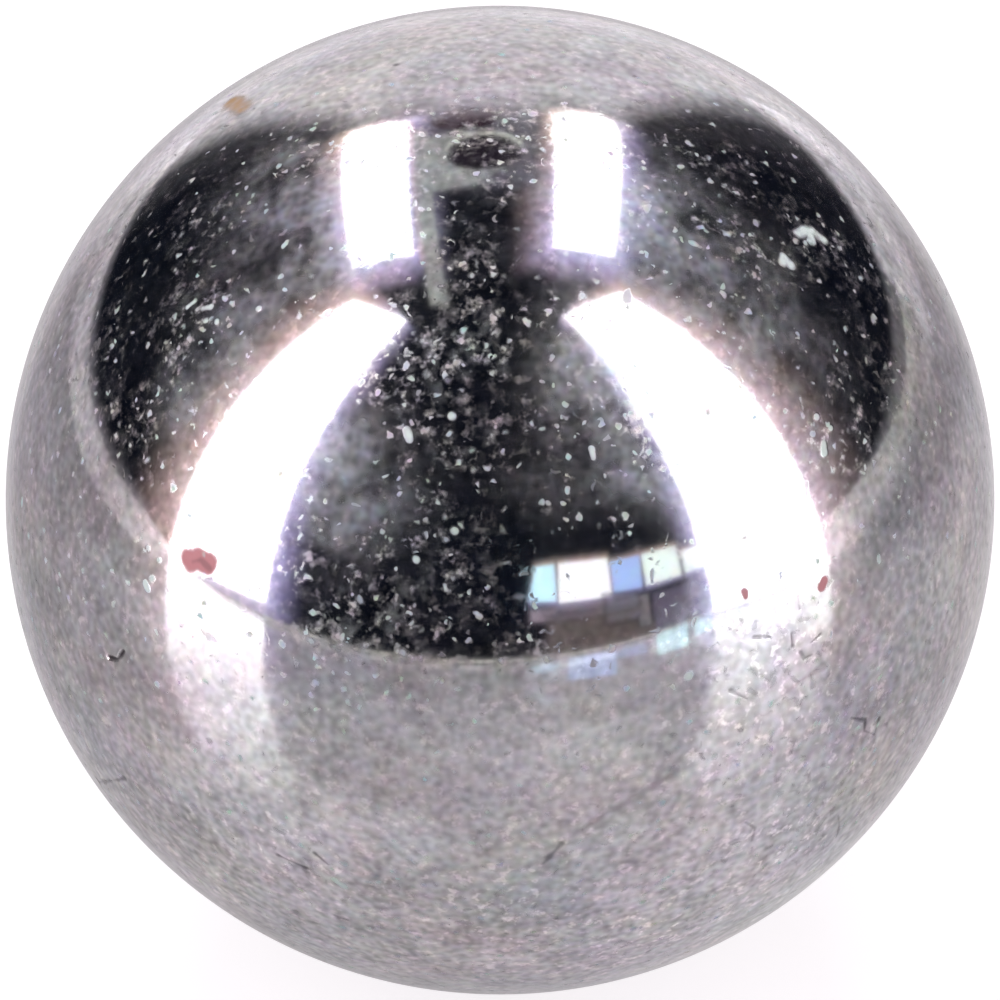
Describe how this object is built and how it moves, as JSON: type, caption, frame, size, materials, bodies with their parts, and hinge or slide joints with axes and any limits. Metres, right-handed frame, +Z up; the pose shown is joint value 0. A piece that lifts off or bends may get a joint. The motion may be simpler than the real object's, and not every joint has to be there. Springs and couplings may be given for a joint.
{
  "type": "steel ball",
  "caption": "Solid polished steel ball, one plain sphere with no hole or flat, for rolling in a race, a track or a cup.",
  "frame": {"origin": "centre of the ball", "axes": "+Z up; the ball is the same along every axis"},
  "size_m": [0.0254, 0.0254, 0.0254],
  "materials": {
    "polished_steel": "lapped mirror polish with a light haze, fine handling scratches, small dings, dust and one speck of rust"
  },
  "bodies": {
    "root": {"ball": "polished_steel"}
  },
  "joints": []
}
